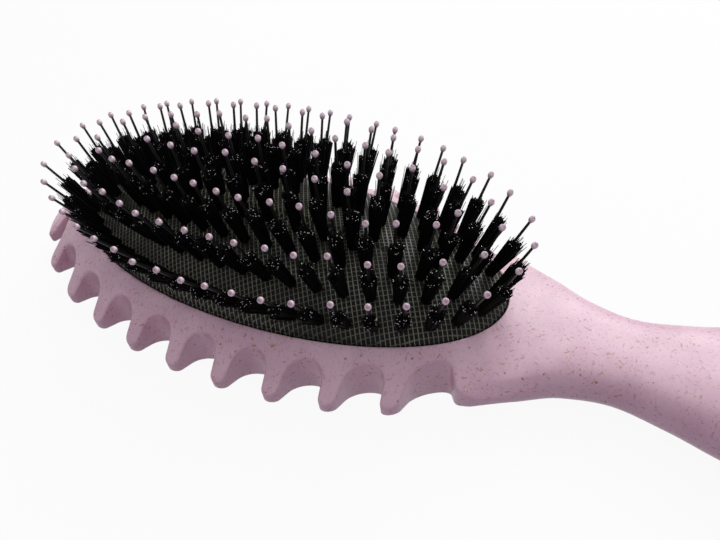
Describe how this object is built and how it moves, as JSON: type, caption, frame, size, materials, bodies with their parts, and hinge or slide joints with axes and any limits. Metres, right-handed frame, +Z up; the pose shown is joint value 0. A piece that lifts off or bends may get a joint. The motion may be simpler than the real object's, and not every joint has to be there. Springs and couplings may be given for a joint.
{
  "type": "defining styling brush",
  "caption": "Oval cushion hair brush with a toothed rim round the head, round-tipped pins among tufts of bristles on a domed pad, and a waisted handle.",
  "frame": {"origin": "under the middle of the bounding box, on the surface that the brush lies on", "axes": "+X from the head to the end of the handle, +Z up through the bristles"},
  "size_m": [0.2359, 0.0748, 0.0464],
  "materials": {
    "fibre_plastic": "satin plastic with short plant fibres",
    "pad_rubber": "dark, with a fine woven texture",
    "pin_nylon": "dark pins with pale ball tips",
    "bristle": "dark fine bristles"
  },
  "bodies": {
    "handle": {"handle_body": "fibre_plastic", "cushion_pad": "pad_rubber"},
    "bristle_bed": {"pins_outer_1": "pin_nylon", "pins_outer_2": "pin_nylon", "pins_outer_3": "pin_nylon", "pins_outer_4": "pin_nylon", "pins_second_1": "pin_nylon", "pins_second_2": "pin_nylon", "pins_second_3": "pin_nylon", "pins_second_4": "pin_nylon", "pins_third_1": "pin_nylon", "pins_third_2": "pin_nylon", "pins_centre": "pin_nylon", "tufts_outer_1": "bristle", "tufts_outer_2": "bristle", "tufts_outer_3": "bristle", "tufts_outer_4": "bristle", "tufts_second_1": "bristle", "tufts_second_2": "bristle", "tufts_second_3": "bristle", "tufts_second_4": "bristle", "tufts_third_1": "bristle", "tufts_third_2": "bristle", "tufts_centre": "bristle"}
  },
  "joints": [
    {"name": "cushion_press", "type": "slide", "parent": "handle", "child": "bristle_bed", "axis": [0, 0, -1], "range_m": [0, 0.003], "stiffness_N_per_m": 2500, "deforming": ["cushion_pad"]}
  ]
}
